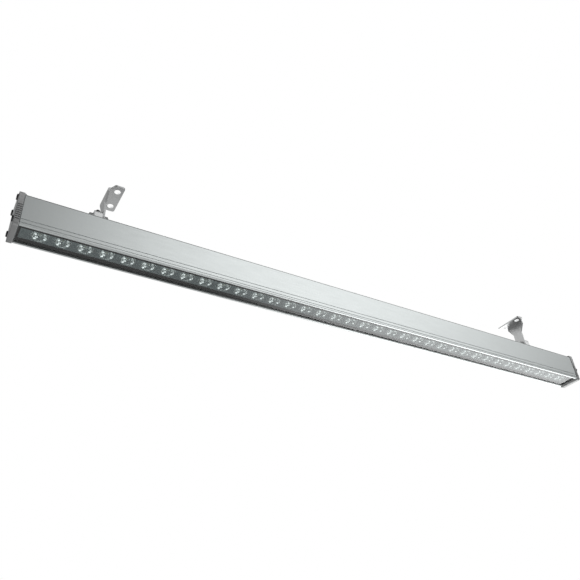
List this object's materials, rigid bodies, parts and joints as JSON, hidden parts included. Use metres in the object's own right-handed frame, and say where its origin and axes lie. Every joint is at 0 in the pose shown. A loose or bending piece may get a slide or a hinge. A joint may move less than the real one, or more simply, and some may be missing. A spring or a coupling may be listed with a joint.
{
  "type": "linear wall washer light",
  "caption": "Slim linear lamp: an aluminium extrusion with a row of lensed lights behind glass, on two tilting brackets that slide along its back.",
  "frame": {"origin": "on the mounting plane against the bracket flanges, above the middle of the lamp's length and over the pivot line", "axes": "+X along the lamp towards the end with the cable gland, +Z into the surface that the flanges are screwed to, so the glass faces -Z at rest"},
  "size_m": [1.0208, 0.049, 0.1033],
  "materials": {
    "anodised_body": "silver anodised, fine extrusion lines",
    "cap_casting": "die-cast, matt grey",
    "bracket_metal": "satin sheet",
    "shoe_metal": "machined, satin",
    "pivot_steel": "zinc-plated",
    "dark_screws": "black oxide",
    "bright_screws": "zinc-plated",
    "front_glass": "clear tempered",
    "border_ink": "black fired-on border",
    "lens_clear": "clear moulded acrylic",
    "silicone": "dark silicone bead",
    "gasket_rubber": "black rubber",
    "holder_plastic": "dark moulded",
    "led_board": "dark solder mask on aluminium",
    "led_package": "pale body with phosphor dome",
    "white_plastic": "moulded",
    "tray_plastic": "translucent sheet",
    "circuit_board": "green solder mask",
    "transformer_black": "moulded",
    "capacitor_sleeve": "shrink sleeve",
    "wire_sleeve": "insulated core",
    "gland_nylon": "moulded nylon"
  },
  "bodies": {
    "bracket_left": {"bracket_left": "bracket_metal"},
    "shoe_left": {"shoe_left": "shoe_metal", "slot_nut_left": "bright_screws", "clamp_screw_left": "dark_screws", "lock_screw_left": "dark_screws", "pivot_bolt_left": "pivot_steel", "pivot_washers_left": "pivot_steel", "pivot_nut_left": "pivot_steel"},
    "lamp": {"housing_extrusion": "anodised_body", "front_glass": "front_glass", "glass_border": "border_ink", "glass_seal": "silicone", "led_board_1": "led_board", "led_board_2": "led_board", "led_board_3": "led_board", "led_chips_1": "led_package", "led_chips_2": "led_package", "led_chips_3": "led_package", "lens_row_1": "lens_clear", "lens_row_2": "lens_clear", "lens_row_3": "lens_clear", "lens_holders_1": "holder_plastic", "lens_holders_2": "holder_plastic", "lens_holders_3": "holder_plastic", "board_screws": "bright_screws", "board_links": "white_plastic", "driver_tray": "tray_plastic", "driver_board": "circuit_board", "driver_transformer": "transformer_black", "driver_chokes": "transformer_black", "driver_capacitors": "capacitor_sleeve", "driver_mosfets": "transformer_black", "terminal_block": "white_plastic", "led_feed_wires": "wire_sleeve", "end_gasket_left": "gasket_rubber", "end_gasket_right": "gasket_rubber", "end_cap_left": "cap_casting", "end_cap_right": "cap_casting", "end_cap_screws_left": "dark_screws", "end_cap_screws_right": "dark_screws", "gland_body": "gland_nylon", "gland_nut": "gland_nylon", "gland_seal": "gasket_rubber"},
    "shoe_right": {"shoe_right": "shoe_metal", "slot_nut_right": "bright_screws", "clamp_screw_right": "dark_screws", "lock_screw_right": "dark_screws", "pivot_bolt_right": "pivot_steel", "pivot_washers_right": "pivot_steel", "pivot_nut_right": "pivot_steel"},
    "bracket_right": {"bracket_right": "bracket_metal"}
  },
  "joints": [
    {"name": "tilt", "type": "hinge", "parent": "bracket_left", "child": "shoe_left", "pos_m": [-0.3993, 0, -0.044], "axis": [1, 0, 0], "range_deg": [-90, 90]},
    {"name": "slide_left", "type": "slide", "parent": "shoe_left", "child": "lamp", "axis": [1, 0, 0], "range_m": [-0.28, 0.045]},
    {"name": "slide_right", "type": "slide", "parent": "lamp", "child": "shoe_right", "axis": [1, 0, 0], "range_m": [-0.28, 0.055]},
    {"name": "tilt_right", "type": "hinge", "parent": "shoe_right", "child": "bracket_right", "pos_m": [0.387, 0, -0.044], "axis": [1, 0, 0], "range_deg": [-90, 90]}
  ],
  "couplings": [
    {"joint": "tilt_right", "follows": "tilt", "ratio": -1}
  ]
}
